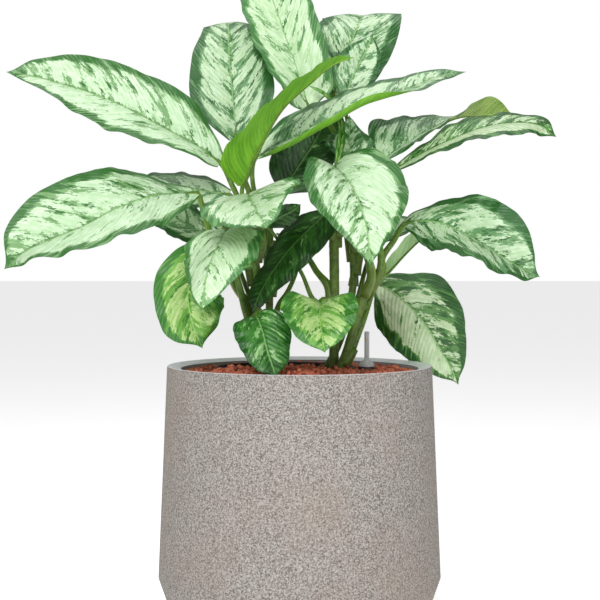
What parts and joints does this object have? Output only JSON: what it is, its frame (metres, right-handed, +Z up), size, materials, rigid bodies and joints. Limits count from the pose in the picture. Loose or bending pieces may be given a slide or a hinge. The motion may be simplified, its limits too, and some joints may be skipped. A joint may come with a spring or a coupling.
{
  "type": "potted chinese evergreen",
  "caption": "Leafy houseplant with silver-flecked blades on canes, rooted in clay granulate in a round stone-look planter with a float water gauge.",
  "frame": {"origin": "centre of the planter's underside", "axes": "+Z up, +X to the right seen from the front, -Y towards the viewer of the picture"},
  "size_m": [0.752, 0.4428, 0.97],
  "materials": {
    "stone_composite": "matt speckled stone composite",
    "fired_clay": "unglazed fired clay pellets",
    "dark_plastic": "matt moulded plastic",
    "roots_and_clay": "clay pellets held together by roots",
    "gauge_shaft_plastic": "matt moulded plastic",
    "clear_plastic": "clear moulded plastic",
    "float_red": "glossy coloured plastic",
    "cane_green": "living green stem, satin",
    "leaf_green": "living leaf, satin, pale flecks on green"
  },
  "bodies": {
    "plant": {"planter": "stone_composite", "clay_granulate": "fired_clay", "culture_pot": "dark_plastic", "root_ball": "roots_and_clay", "gauge_shaft": "gauge_shaft_plastic", "gauge_tube": "clear_plastic", "cane_centre": "cane_green", "cane_right": "cane_green", "cane_right_back": "cane_green", "cane_left": "cane_green", "cane_left_back": "cane_green", "leaf_left_long": "leaf_green", "leaf_left_broad": "leaf_green", "leaf_left_behind": "leaf_green", "leaf_left_under": "leaf_green", "leaf_back_left": "leaf_green", "leaf_crown": "leaf_green", "leaf_folded_bright": "leaf_green", "leaf_front_left_top": "leaf_green", "leaf_across": "leaf_green", "leaf_back_right": "leaf_green", "leaf_small_top": "leaf_green", "leaf_right_twisted": "leaf_green", "leaf_right_long": "leaf_green", "leaf_centre_front": "leaf_green", "leaf_right_mid": "leaf_green", "leaf_right_low": "leaf_green", "leaf_front_left": "leaf_green", "leaf_low_left": "leaf_green", "leaf_centre_dark": "leaf_green", "leaf_low_dark": "leaf_green", "leaf_low_front": "leaf_green", "leaf_small_dark": "leaf_green", "leaf_behind_centre": "leaf_green", "leaf_pale_small": "leaf_green", "leaf_right_under": "leaf_green", "leaf_right_behind": "leaf_green", "leaf_rear_left": "leaf_green", "leaf_rear_centre": "leaf_green", "leaf_rear_right": "leaf_green", "leaf_new": "leaf_green"},
    "float": {"gauge_float": "float_red"}
  },
  "joints": [
    {"name": "float_slide", "type": "slide", "parent": "plant", "child": "float", "axis": [0, 0, 1], "range_m": [0, 0.03]}
  ]
}
